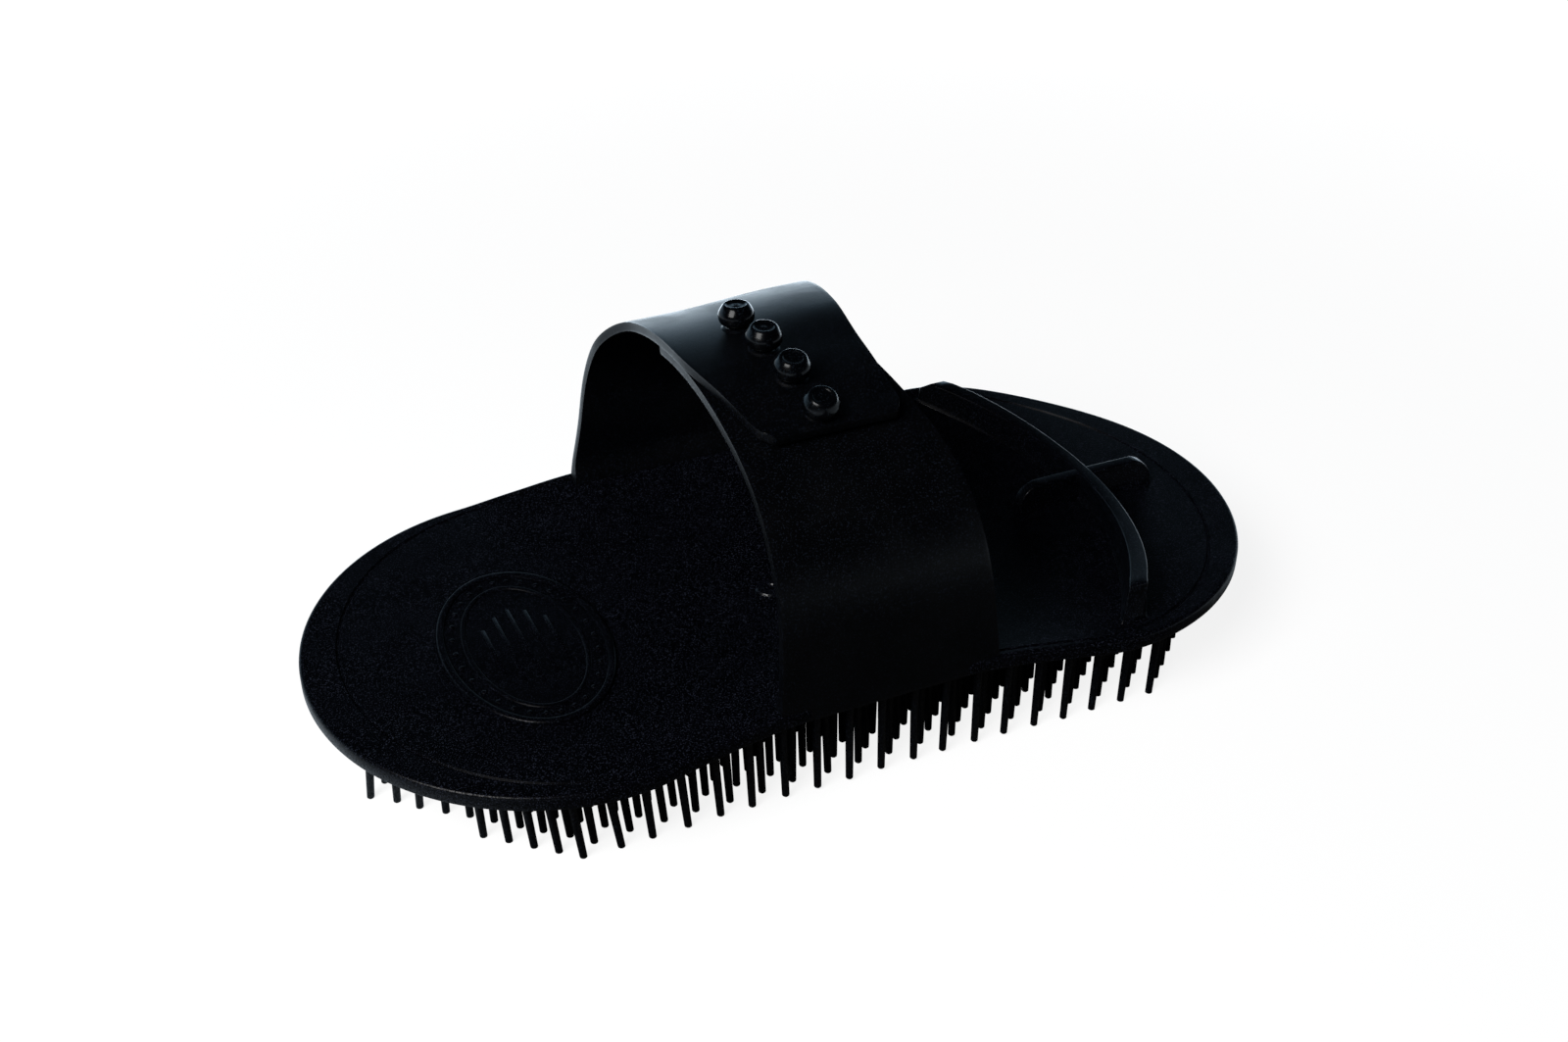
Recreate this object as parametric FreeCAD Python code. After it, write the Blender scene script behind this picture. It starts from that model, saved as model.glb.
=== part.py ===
import FreeCAD, Part
import math
import os

from FreeCAD import Placement, Rotation, Vector

# A flexible moulded grooming comb: a waisted plate on a field of round pins, with a two-winged
# hand strap buttoned over the back and a cross-shaped finger grip on one end.
# Millimetres. Z is up, the pin tips stand on Z = 0, X runs along the plate.

# ---- pins ----
PIN_LENGTH = 18.0
PIN_ROOT_RADIUS = 0.85
PIN_TIP_RADIUS = 0.70
PIN_TIP_CHAMFER = 0.20
PIN_PITCH = 6.6
# Half pitches left without a pin at each end of a row, from the middle row outwards.
ROW_BARE_ENDS = (4, 3, 2, 3, 4, 4, 5, 5, 4, 4, 4, 4, 3)
PIN_EDGE_GAP = 0.05

# ---- plate ----
PLATE_LENGTH = 190.0
PLATE_WIDTH = 92.0
PLATE_WAIST_INSET = 3.4
PLATE_THICKNESS = 3.0
PLATE_EDGE_ROUND = 0.7
PANEL_LINE_SIDE_INSET = 1.0
PANEL_LINE_END_INSET = 7.3
PANEL_LINE_WIDTH = 0.8
PANEL_LINE_DEPTH = 0.3
CENTRE_BOSS_RADIUS = 2.8
CENTRE_BOSS_HEIGHT = 1.0
CENTRE_BOSS_AT = (-7.0, -5.5)

# ---- bare oval pad, on the end away from the grip ----
PAD_END_INSET = 40.0
PAD_CENTRE_Y = -3.0
PAD_HALF_WIDTH = 15.5
PAD_HALF_LENGTH = 23.5
PAD_THICKNESS = 0.4
PAD_RIM_WIDTH = 1.6
PAD_RIM_HEIGHT = 0.4

# ---- finger grip ----
GRIP_ARC_END_INSET = 27.5
GRIP_ARC_SIDE_INSET = 4.6
GRIP_ARC_RADIUS = 67.0
GRIP_ARC_MID_WIDTH = 3.0
GRIP_ARC_END_WIDTH = 4.8
GRIP_END_HEIGHT = 8.2
GRIP_MID_HEIGHT = 5.8
GRIP_RIB_END_INSET = 13.0
GRIP_RIB_LENGTH = 31.5
GRIP_RIB_WIDTH = 2.8
GRIP_RIB_HEIGHT = 5.7
GRIP_RIB_END_ROUND = 4.6

# ---- strap ----
STRAP_STAND_OUT = 0.4
STRAP_RISE = 51.0
STRAP_THICKNESS = 1.8
STRAP_TOP_RADIUS = 70.0
# Each shoulder is an arc from the upright leg to the top arc; these are its centre's Y distances.
FAR_SHOULDER_CENTRE_Y = 15.0
NEAR_SHOULDER_CENTRE_Y = 13.0
STRAP_LAP_GAP = 0.3
HINGE_ROLL_SWELL = 0.2
HINGE_CLEARANCE = 0.3
HINGE_HEIGHT_ON_PLATE = 1.5
CORNER_ROUND = 3.0
# Far wing, outermost at the lap: its X limits at the broad root and at stations up to the tip.
FAR_ROOT_X = (-30.3, 24.3)
FAR_ROOT_DEPTH = 7.0
FAR_SHOULDER_X = (-24.2, 15.6)
FAR_SHOULDER_HEIGHT = 45.0
FAR_SHOULDER_DEPTH = 13.0
FAR_BEND_DEPTH = 23.0
FAR_BEND_X = (-21.9, 14.4)
FAR_TOP_Y = -2.0
FAR_TOP_X = (-21.8, 10.9)
FAR_TIP_X = (-16.4, 9.8)
FAR_TIP_PAST_BUTTONS = 3.8
# Near wing, carries the buttons: its left edge is square, its right edge leans in evenly
# from the root to the corner the leg and the top would make, and on to the middle of the top.
NEAR_LEFT_X = -21.3
NEAR_RIGHT_ROOT_X = 22.0
NEAR_RIGHT_CORNER_X = 15.4
NEAR_RIGHT_TOP_X = 10.5
NEAR_TIP_PAST_BUTTONS = 7.7

# ---- buttons ----
BUTTON_COUNT = 4
BUTTON_PITCH = 9.6
BUTTON_FIRST_Y = 7.3
BUTTON_FIRST_X = -7.8
BUTTON_LAST_X = -5.1
BUTTON_STEM_RADIUS = 1.5
BUTTON_HEAD_RADIUS = 3.4
BUTTON_TOP_RADIUS = 2.2
BUTTON_HEIGHT = 4.7
BUTTON_NECK_GAP = 0.3
BUTTON_UNDERSIDE = 0.8
BUTTON_UNDERSIDE_RADIUS = 2.5
BUTTON_TOP_CHAMFER = 0.5
BUTTON_SHOULDER_RADIUS = 2.75
BUTTON_DISH_RADIUS = 1.6
BUTTON_DISH_DEPTH = 0.4
HOLE_CLEARANCE = 0.4
COLLAR_WIDTH = 0.8
COLLAR_HEIGHT = 0.4

# ---- derived ----
PLATE_TOP = PIN_LENGTH + PLATE_THICKNESS
PLATE_END_X = PLATE_LENGTH / 2
END_RADIUS = PLATE_WIDTH / 2
END_CENTRE_X = PLATE_END_X - END_RADIUS
WAIST_HALF = END_RADIUS - PLATE_WAIST_INSET
# The side arcs touch the end arcs and cross the middle at the waist.
WAIST_ARC_RADIUS = (
    (END_CENTRE_X ** 2 + WAIST_HALF ** 2 - END_RADIUS ** 2)
    / (2 * (END_RADIUS - WAIST_HALF))
)
STRAP_HALF_SPAN = WAIST_HALF + STRAP_STAND_OUT
HINGE_RADIUS = STRAP_THICKNESS / 2 + HINGE_ROLL_SWELL
HINGE_Z = PIN_LENGTH + HINGE_HEIGHT_ON_PLATE
HINGE_Y = STRAP_HALF_SPAN - HINGE_RADIUS
SEAT_RADIUS = HINGE_RADIUS + HINGE_CLEARANCE
TOP_CENTRE_Z = PLATE_TOP + STRAP_RISE - STRAP_TOP_RADIUS
NEAR_TOP_RADIUS = STRAP_TOP_RADIUS - STRAP_THICKNESS - STRAP_LAP_GAP
HOLE_RADIUS = BUTTON_STEM_RADIUS + HOLE_CLEARANCE
COLLAR_RADIUS = HOLE_RADIUS + COLLAR_WIDTH
BUTTON_FIRST_LEAN = math.asin(BUTTON_FIRST_Y / NEAR_TOP_RADIUS)
BUTTON_LAST_LEAN = BUTTON_FIRST_LEAN - (BUTTON_COUNT - 1) * BUTTON_PITCH / NEAR_TOP_RADIUS
# The far tip is flush with the last hole's collar, and the near tip runs on past the first button.
FAR_TIP_Y = STRAP_TOP_RADIUS * math.sin(BUTTON_LAST_LEAN) - FAR_TIP_PAST_BUTTONS
NEAR_TIP_Y = BUTTON_FIRST_Y + NEAR_TIP_PAST_BUTTONS
HALF_PITCH = PIN_PITCH / 2
# The outermost rows stand just inside the seats of the strap's hinge rolls.
LAST_ROW = len(ROW_BARE_ENDS) - 1
ROW_SPACING = (HINGE_Y - SEAT_RADIUS - PIN_ROOT_RADIUS - PIN_EDGE_GAP) / LAST_ROW
REACH = 2 * PLATE_LENGTH
SMALL = 0.01


def block(x_range, y_range, z_range):
    size = [high - low for low, high in (x_range, y_range, z_range)]
    return Part.makeBox(size[0], size[1], size[2], Vector(x_range[0], y_range[0], z_range[0]))


def prism(points, direction):
    outline = Part.makePolygon(points + [points[0]])
    return Part.Face(outline).extrude(direction)


def outward(side, near, far):
    """Range from one distance to another on the given side of the middle, low value first."""
    return sorted((side * near, side * far))


# ---- plate and what stands on it ----

def plate_outline(z):
    """Two round ends joined by two arcs that draw the long sides in at the strap."""
    waist_centre = WAIST_HALF + WAIST_ARC_RADIUS
    reach = END_RADIUS / (END_RADIUS + WAIST_ARC_RADIUS)
    join_x = END_CENTRE_X * (1 - reach)
    join_y = waist_centre * reach
    edges = []
    for sign in (1, -1):
        end = Part.Arc(
            Vector(sign * join_x, -sign * join_y, z),
            Vector(sign * PLATE_END_X, 0, z),
            Vector(sign * join_x, sign * join_y, z),
        )
        side = Part.Arc(
            Vector(sign * join_x, sign * join_y, z),
            Vector(0, sign * WAIST_HALF, z),
            Vector(-sign * join_x, sign * join_y, z),
        )
        edges += [end.toShape(), side.toShape()]
    return Part.Wire(edges)


def hinge_seat(side, x_range):
    """Material taken from the plate's edge where a wing's hinge roll turns."""
    ends = (x_range[0] - HINGE_CLEARANCE, x_range[1] + HINGE_CLEARANCE)
    start = Vector(ends[0], side * HINGE_Y, HINGE_Z)
    roll = Part.makeCylinder(SEAT_RADIUS, ends[1] - ends[0], start, Vector(1, 0, 0))
    edge = block(ends, outward(side, HINGE_Y, REACH), (0, REACH))
    above = block(ends, outward(side, HINGE_Y - SEAT_RADIUS, REACH), (HINGE_Z, REACH))
    return [roll, edge, above]


def panel_line(sign):
    """Shallow line that follows the end of the plate, a little way in from its edge."""
    radius = END_RADIUS - PANEL_LINE_SIDE_INSET
    centre_x = PLATE_END_X - PANEL_LINE_END_INSET - radius
    base = Vector(sign * centre_x, 0, PLATE_TOP - PANEL_LINE_DEPTH)
    outer = Part.makeCylinder(radius + PANEL_LINE_WIDTH / 2, PLATE_THICKNESS, base)
    inner = Part.makeCylinder(radius - PANEL_LINE_WIDTH / 2, PLATE_THICKNESS, base)
    beyond = block(outward(sign, END_CENTRE_X, REACH), (-REACH, REACH), (0, REACH))
    return outer.cut(inner).common(beyond)


def base_plate():
    plate = Part.Face(plate_outline(PIN_LENGTH)).extrude(Vector(0, 0, PLATE_THICKNESS))
    rims = []
    for edge in plate.Edges:
        box = edge.BoundBox
        if box.ZLength < SMALL and box.ZMin > PLATE_TOP - SMALL:
            rims.append(edge)
    plate = plate.makeFillet(PLATE_EDGE_ROUND, rims)
    for sign in (1, -1):
        plate = plate.cut(panel_line(sign))
    for tool in hinge_seat(1, FAR_ROOT_X) + hinge_seat(-1, (NEAR_LEFT_X, NEAR_RIGHT_ROOT_X)):
        plate = plate.cut(tool)
    boss_base = Vector(CENTRE_BOSS_AT[0], CENTRE_BOSS_AT[1], PIN_LENGTH)
    boss = Part.makeCylinder(
        CENTRE_BOSS_RADIUS, PLATE_THICKNESS + CENTRE_BOSS_HEIGHT, boss_base
    )
    return plate.fuse(boss).removeSplitter()


def oval(half_width, half_length, z, height):
    centre = Vector(PAD_END_INSET - PLATE_END_X, PAD_CENTRE_Y, z)
    ellipse = Part.Ellipse(
        centre + Vector(0, half_length, 0), centre + Vector(half_width, 0, 0), centre
    )
    return Part.Face(Part.Wire(ellipse.toShape())).extrude(Vector(0, 0, height))


def oval_pad():
    """Plain oval pad with a raised rim."""
    pad = oval(PAD_HALF_WIDTH, PAD_HALF_LENGTH, PLATE_TOP, PAD_THICKNESS + PAD_RIM_HEIGHT)
    floor = PLATE_TOP + PAD_THICKNESS
    hollow = oval(
        PAD_HALF_WIDTH - PAD_RIM_WIDTH, PAD_HALF_LENGTH - PAD_RIM_WIDTH, floor, PAD_RIM_HEIGHT
    )
    return pad.cut(hollow)


def arc_rib():
    """Rib across the plate: an arc in plan, wider at its ends, its top dished in the middle."""
    mid_x = PLATE_END_X - GRIP_ARC_END_INSET - GRIP_ARC_MID_WIDTH / 2
    span = END_RADIUS - GRIP_ARC_SIDE_INSET
    drop = GRIP_ARC_RADIUS - math.sqrt(GRIP_ARC_RADIUS ** 2 - span ** 2)
    sides = []
    for sign in (1, -1):
        middle = Vector(mid_x + sign * GRIP_ARC_MID_WIDTH / 2, 0, PLATE_TOP)
        end_x = mid_x - drop + sign * GRIP_ARC_END_WIDTH / 2
        near = Vector(end_x, -span, PLATE_TOP)
        far = Vector(end_x, span, PLATE_TOP)
        sides.append((near, middle, far))
    (near_a, middle_a, far_a), (near_b, middle_b, far_b) = sides
    outline = Part.Wire([
        Part.Arc(near_a, middle_a, far_a).toShape(),
        Part.makeLine(far_a, far_b),
        Part.Arc(far_b, middle_b, near_b).toShape(),
        Part.makeLine(near_b, near_a),
    ])
    rib = Part.Face(outline).extrude(Vector(0, 0, GRIP_END_HEIGHT))
    rise = GRIP_END_HEIGHT - GRIP_MID_HEIGHT
    dish_radius = (span ** 2 + rise ** 2) / (2 * rise)
    dish_base = Vector(0, 0, PLATE_TOP + GRIP_MID_HEIGHT + dish_radius)
    dish = Part.makeCylinder(dish_radius, REACH, dish_base, Vector(1, 0, 0))
    return rib.cut(dish)


def centre_rib():
    """Rib along the plate through the middle of the arc, with both top corners rounded off."""
    end_x = PLATE_END_X - GRIP_RIB_END_INSET
    half_width = GRIP_RIB_WIDTH / 2
    rib = block(
        (end_x - GRIP_RIB_LENGTH, end_x),
        (-half_width, half_width),
        (PLATE_TOP, PLATE_TOP + GRIP_RIB_HEIGHT),
    )
    corners = []
    for edge in rib.Edges:
        box = edge.BoundBox
        if box.YLength > half_width and box.ZMin > PLATE_TOP + SMALL:
            corners.append(edge)
    return rib.makeFillet(GRIP_RIB_END_ROUND, corners)


def finger_grip():
    return arc_rib().fuse(centre_rib()).removeSplitter()


# ---- pins ----

def one_pin():
    profile = [
        Vector(0, 0, 0),
        Vector(PIN_TIP_RADIUS - PIN_TIP_CHAMFER, 0, 0),
        Vector(PIN_TIP_RADIUS, 0, PIN_TIP_CHAMFER),
        Vector(PIN_ROOT_RADIUS, 0, PIN_LENGTH),
        Vector(0, 0, PIN_LENGTH),
    ]
    outline = Part.makePolygon(profile + [profile[0]])
    return Part.Face(outline).revolve(Vector(0, 0, 0), Vector(0, 0, 1), 360)


def row_steps(row):
    """Half pitches from the middle at which a row has its pins; every other row is shifted."""
    room = END_CENTRE_X + math.sqrt(END_RADIUS ** 2 - (row * ROW_SPACING) ** 2)
    reach = int(room / HALF_PITCH) - ROW_BARE_ENDS[abs(row)]
    reach -= (reach + row) % 2
    return range(-reach, reach + 1, 2)


def pin_row(row, pin):
    """One row of pins along the plate, counted from the middle row."""
    pins = []
    for step in row_steps(row):
        copy = pin.copy()
        copy.translate(Vector(step * HALF_PITCH, row * ROW_SPACING, 0))
        pins.append(copy)
    return Part.makeCompound(pins)


# ---- strap wings ----

def over_the_top(radius, angle):
    """Point in the YZ plane, at an angle from straight up about the top arc's centre."""
    return Vector(0, radius * math.sin(angle), TOP_CENTRE_Z + radius * math.cos(angle))


def strap_section(side, depth, shoulder_y, top_radius, tip_y):
    """Line at one depth below the strap's skin, from the hinge over the shoulder to the tip."""
    shoulder_radius = STRAP_HALF_SPAN - shoulder_y
    apart = top_radius - shoulder_radius
    shoulder_z = TOP_CENTRE_Z + math.sqrt(apart ** 2 - shoulder_y ** 2)
    lean = math.asin(shoulder_y / apart)
    bend = (lean + math.pi / 2) / 2
    radius = shoulder_radius - depth
    top = top_radius - depth
    tip = math.asin(tip_y / top)
    foot = Vector(0, side * (STRAP_HALF_SPAN - depth), HINGE_Z)
    knee = Vector(0, side * (STRAP_HALF_SPAN - depth), shoulder_z)
    shoulder = Vector(
        0, side * (shoulder_y + radius * math.sin(bend)), shoulder_z + radius * math.cos(bend)
    )
    crown = over_the_top(top, side * lean)
    middle = over_the_top(top, (side * lean + tip) / 2)
    end = over_the_top(top, tip)
    return foot, knee, shoulder, crown, middle, end


def strap_blade(side, shoulder_y, top_radius, tip_y):
    """Constant thickness sheet in the shape of the strap, wider than either wing."""
    outer = strap_section(side, 0, shoulder_y, top_radius, tip_y)
    inner = strap_section(side, STRAP_THICKNESS, shoulder_y, top_radius, tip_y)
    wire = Part.Wire([
        Part.makeLine(outer[0], outer[1]),
        Part.Arc(outer[1], outer[2], outer[3]).toShape(),
        Part.Arc(outer[3], outer[4], outer[5]).toShape(),
        Part.makeLine(outer[5], inner[5]),
        Part.Arc(inner[5], inner[4], inner[3]).toShape(),
        Part.Arc(inner[3], inner[2], inner[1]).toShape(),
        Part.makeLine(inner[1], inner[0]),
        Part.makeLine(inner[0], outer[0]),
    ])
    wire.translate(Vector(-REACH / 2, 0, 0))
    return Part.Face(wire).extrude(Vector(REACH, 0, 0))


def hinge_roll(side, x_range):
    start = Vector(x_range[0], side * HINGE_Y, HINGE_Z)
    return Part.makeCylinder(HINGE_RADIUS, x_range[1] - x_range[0], start, Vector(1, 0, 0))


def upright_corners(solid, y):
    """Upright edges of a prism that stand at one Y."""
    found = []
    for edge in solid.Edges:
        box = edge.BoundBox
        if box.ZLength > REACH / 2 and abs(box.YMin - y) < SMALL:
            found.append(edge)
    return found


def far_plan():
    """Far wing seen from above: it narrows over the top and its tip corners are rounded."""
    stations = [
        (STRAP_HALF_SPAN + STRAP_THICKNESS, FAR_ROOT_X),
        (STRAP_HALF_SPAN - FAR_ROOT_DEPTH, FAR_ROOT_X),
        (STRAP_HALF_SPAN - FAR_SHOULDER_DEPTH, FAR_SHOULDER_X),
        (STRAP_HALF_SPAN - FAR_BEND_DEPTH, FAR_BEND_X),
        (FAR_TOP_Y, FAR_TOP_X),
        (FAR_TIP_Y, FAR_TIP_X),
    ]
    right = [Vector(limits[1], y, 0) for y, limits in stations]
    left = [Vector(limits[0], y, 0) for y, limits in reversed(stations)]
    plan = prism(right + left, Vector(0, 0, REACH))
    return plan.makeFillet(CORNER_ROUND, upright_corners(plan, FAR_TIP_Y))


def far_front():
    """Far wing seen along the plate's width: both edges lean in from the broad root."""
    shoulder_z = PLATE_TOP + FAR_SHOULDER_HEIGHT
    stations = [
        (0, FAR_ROOT_X),
        (PLATE_TOP, FAR_ROOT_X),
        (shoulder_z, FAR_SHOULDER_X),
        (REACH, FAR_SHOULDER_X),
    ]
    right = [Vector(limits[1], -REACH / 2, z) for z, limits in stations]
    left = [Vector(limits[0], -REACH / 2, z) for z, limits in reversed(stations)]
    return prism(right + left, Vector(0, REACH, 0))


def button_places():
    """X and lean of each button about the top arc's centre, from the far one to the near one."""
    places = []
    for number in range(BUTTON_COUNT):
        share = number / (BUTTON_COUNT - 1)
        x = BUTTON_FIRST_X + share * (BUTTON_LAST_X - BUTTON_FIRST_X)
        lean = BUTTON_FIRST_LEAN + share * (BUTTON_LAST_LEAN - BUTTON_FIRST_LEAN)
        places.append((x, lean))
    return places


def on_top(shape, x, lean):
    """Stands a shape drawn up the Z axis from the top arc's centre at one button's place."""
    shape.rotate(Vector(0, 0, 0), Vector(1, 0, 0), -math.degrees(lean))
    shape.translate(Vector(x, 0, TOP_CENTRE_Z))
    return shape


def far_strap_wing():
    """Outer wing: its tip laps over the other wing and has a collared hole for each button."""
    wing = strap_blade(1, FAR_SHOULDER_CENTRE_Y, STRAP_TOP_RADIUS, FAR_TIP_Y)
    wing = wing.common(far_plan()).common(far_front())
    wing = wing.fuse(hinge_roll(1, FAR_ROOT_X))
    for x, lean in button_places():
        collar_base = Vector(0, 0, STRAP_TOP_RADIUS - STRAP_THICKNESS / 2)
        collar_height = STRAP_THICKNESS / 2 + COLLAR_HEIGHT
        collar = Part.makeCylinder(COLLAR_RADIUS, collar_height, collar_base)
        wing = wing.fuse(on_top(collar, x, lean))
    for x, lean in button_places():
        hole_base = Vector(0, 0, NEAR_TOP_RADIUS)
        hole_height = STRAP_TOP_RADIUS + BUTTON_HEIGHT - NEAR_TOP_RADIUS
        hole = Part.makeCylinder(HOLE_RADIUS, hole_height, hole_base)
        wing = wing.cut(on_top(hole, x, lean))
    return wing.removeSplitter()


def near_right_cut():
    """Everything to the right of the near wing's leaning edge."""
    top_z = TOP_CENTRE_Z + NEAR_TOP_RADIUS
    root = Vector(NEAR_RIGHT_ROOT_X, -STRAP_HALF_SPAN, PLATE_TOP)
    corner = Vector(NEAR_RIGHT_CORNER_X, -STRAP_HALF_SPAN, top_z)
    top = Vector(NEAR_RIGHT_TOP_X, 0, top_z)
    outward_normal = (top - root).cross(corner - root)
    half = Part.makeBox(REACH, REACH * 2, REACH * 2, Vector(0, -REACH, -REACH))
    half.Placement = Placement(root, Rotation(Vector(1, 0, 0), outward_normal))
    return half


def near_strap_wing():
    """Inner wing, which carries the buttons."""
    wing = strap_blade(-1, NEAR_SHOULDER_CENTRE_Y, NEAR_TOP_RADIUS, NEAR_TIP_Y)
    plan = block((NEAR_LEFT_X, REACH / 2), (-REACH / 2, NEAR_TIP_Y), (0, REACH))
    left = [edge for edge in upright_corners(plan, NEAR_TIP_Y) if edge.BoundBox.XMax < 0]
    wing = wing.common(plan.makeFillet(CORNER_ROUND, left))
    wing = wing.cut(near_right_cut())
    wing = wing.fuse(hinge_roll(-1, (NEAR_LEFT_X, NEAR_RIGHT_ROOT_X)))
    return wing.removeSplitter()


def one_button():
    """Mushroom button up the Z axis: stem, flared underside, bulging head and dished top."""
    foot = NEAR_TOP_RADIUS - STRAP_THICKNESS / 2
    neck = STRAP_TOP_RADIUS + COLLAR_HEIGHT + BUTTON_NECK_GAP
    crown = STRAP_TOP_RADIUS + BUTTON_HEIGHT
    bulge_low = neck + BUTTON_UNDERSIDE
    bulge_high = crown - BUTTON_TOP_CHAMFER
    points = {
        "axis foot": Vector(0, 0, foot),
        "stem foot": Vector(BUTTON_STEM_RADIUS, 0, foot),
        "neck": Vector(BUTTON_STEM_RADIUS, 0, neck),
        "underside": Vector(BUTTON_UNDERSIDE_RADIUS, 0, bulge_low),
        "waist": Vector(BUTTON_HEAD_RADIUS, 0, (bulge_low + bulge_high) / 2),
        "shoulder": Vector(BUTTON_SHOULDER_RADIUS, 0, bulge_high),
        "rim": Vector(BUTTON_TOP_RADIUS, 0, crown),
        "dish": Vector(BUTTON_DISH_RADIUS, 0, crown - BUTTON_DISH_DEPTH),
        "axis top": Vector(0, 0, crown - BUTTON_DISH_DEPTH),
    }
    corners = list(points.values())
    edges = [Part.makeLine(corners[n], corners[n + 1]) for n in range(3)]
    edges.append(Part.Arc(points["underside"], points["waist"], points["shoulder"]).toShape())
    edges += [Part.makeLine(corners[n], corners[n + 1]) for n in range(5, 8)]
    edges.append(Part.makeLine(points["axis top"], points["axis foot"]))
    return Part.Face(Part.Wire(edges)).revolve(Vector(0, 0, 0), Vector(0, 0, 1), 360)


def strap_buttons():
    """The buttons, each cut to sit on the near wing's curved outer face."""
    drum_base = Vector(-REACH / 2, 0, TOP_CENTRE_Z)
    drum = Part.makeCylinder(NEAR_TOP_RADIUS, REACH, drum_base, Vector(1, 0, 0))
    buttons = []
    for x, lean in button_places():
        buttons.append(on_top(one_button(), x, lean).cut(drum))
    return Part.makeCompound(buttons)


def save(shape, name):
    shape.exportStep("parts/" + name + ".step")


def main():
    os.makedirs("parts", exist_ok=True)
    save(base_plate(), "base_plate")
    save(oval_pad(), "oval_pad")
    save(finger_grip(), "finger_grip")
    pin = one_pin()
    for row in range(-LAST_ROW, LAST_ROW + 1):
        save(pin_row(row, pin), "pin_row_%02d" % (row + LAST_ROW + 1))
    save(near_strap_wing(), "near_strap_wing")
    save(far_strap_wing(), "far_strap_wing")
    save(strap_buttons(), "strap_buttons")


main()
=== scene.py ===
import math

import bmesh
import bpy
from mathutils import Matrix, Vector, noise


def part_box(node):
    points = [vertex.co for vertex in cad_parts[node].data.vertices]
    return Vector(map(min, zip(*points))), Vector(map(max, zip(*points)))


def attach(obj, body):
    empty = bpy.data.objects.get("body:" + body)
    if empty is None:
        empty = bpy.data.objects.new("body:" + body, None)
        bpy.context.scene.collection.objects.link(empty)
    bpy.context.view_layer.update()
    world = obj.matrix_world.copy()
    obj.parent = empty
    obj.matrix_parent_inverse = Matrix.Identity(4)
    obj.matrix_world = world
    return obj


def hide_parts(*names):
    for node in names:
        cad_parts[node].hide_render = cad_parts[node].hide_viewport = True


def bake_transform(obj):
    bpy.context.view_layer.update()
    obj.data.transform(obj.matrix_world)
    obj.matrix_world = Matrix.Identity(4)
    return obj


# A flexible black rubber grooming comb. Metres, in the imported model's frame.
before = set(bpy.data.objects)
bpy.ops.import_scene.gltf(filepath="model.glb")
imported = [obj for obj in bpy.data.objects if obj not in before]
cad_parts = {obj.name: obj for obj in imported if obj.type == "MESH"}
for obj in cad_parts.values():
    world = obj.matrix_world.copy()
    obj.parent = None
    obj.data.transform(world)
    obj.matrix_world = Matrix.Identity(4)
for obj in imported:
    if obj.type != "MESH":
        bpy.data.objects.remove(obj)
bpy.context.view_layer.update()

MM = 0.001
SMALL = 0.01 * MM

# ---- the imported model's places ----
PLATE_LOW, PLATE_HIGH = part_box("base_plate")
UNDERSIDE_Z = PLATE_LOW.z
PLATE_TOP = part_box("oval_pad")[0].z
END_RADIUS = PLATE_HIGH.y
END_CENTRE_X = PLATE_HIGH.x - END_RADIUS
ROW_COUNT = 25

# ---- plate ----
WAIST_HALF = 42.6 * MM
WAIST_RADIUS = (END_CENTRE_X ** 2 + WAIST_HALF ** 2 - END_RADIUS ** 2) / (2 * (END_RADIUS - WAIST_HALF))
OUTLINE_SIDES = 230
LONG_SIDE_CUTS = 63
JOIN_X = END_CENTRE_X * WAIST_RADIUS / (END_RADIUS + WAIST_RADIUS)
TOP_EDGE_ROUND = 0.7 * MM
LOW_EDGE_ROUND = 0.3 * MM
# The strap pulls the plate's long sides up at the waist: (where it starts, its run, rise at the edge).
FAR_LEFT_CURL = (54 * MM, 30 * MM, 3.9 * MM)
FAR_RIGHT_CURL = (92 * MM, 46 * MM, 3.9 * MM)
NEAR_CURL = (54 * MM, 40 * MM, 2.7 * MM)
PLATE_TILT = 0.013
# The right end hangs a little: (where it starts, its run, fall at the end).
RIGHT_END_DROOP = (60 * MM, 35 * MM, 0.7 * MM)
PANEL_LINE_INSET = 1.6 * MM
PANEL_LINE_GUARD = 0.2 * MM
PANEL_LINE_FLANK = 0.25 * MM
PANEL_LINE_FLOOR = 0.35 * MM
PANEL_LINE_DEPTH = 0.35 * MM
PANEL_LINE_LENGTH_SHARE = 0.944
FIELD_STEP = 3.9 * MM
FIELD_STEPS = 9
BOSS_AT = (-7 * MM, -5.5 * MM)
BOSS_RADIUS = 2.8 * MM
BOSS_HEIGHT = 1.0 * MM

# ---- oval pad ----
PAD_HALF_WIDTH = 15.5 * MM
PAD_HALF_LENGTH = 23.5 * MM
PAD_FACE = 0.4
DOT_COUNT = 30
DOT_RING = (12.6 * MM, 20.6 * MM)
# The pad's ribs: (X, half length) of each.
PAD_RIBS = ((-6, 7), (-3, 10), (0, 11.5), (3, 10), (6, 7))
PAD_RIB_HALF_WIDTH = 0.4
PAD_RIB_LOW = 0.1
PAD_RIB_HIGH = 0.53

# ---- finger grip ----
ARC_RADIUS = 67 * MM
ARC_OUTER_X = 67.5 * MM
ARC_HALF_MIDDLE = 1.5 * MM
ARC_MIDDLE_WIDTH = 3.0 * MM
ARC_END_WIDTH = 4.8 * MM
ARC_MIDDLE_HEIGHT = 5.8 * MM
GRIP_FAR_ROUND = 3.2 * MM
GRIP_TOP_SHARE = 0.86
GRIP_FLARE = 0.75 * MM
GRIP_FLARE_HEIGHT = 1.1 * MM
RIB_LENGTH = 31.5 * MM
RIB_HALF_WIDTH = 1.4 * MM
RIB_HEIGHT = 5.7 * MM
RIB_END_ROUND = 5.0 * MM
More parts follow.
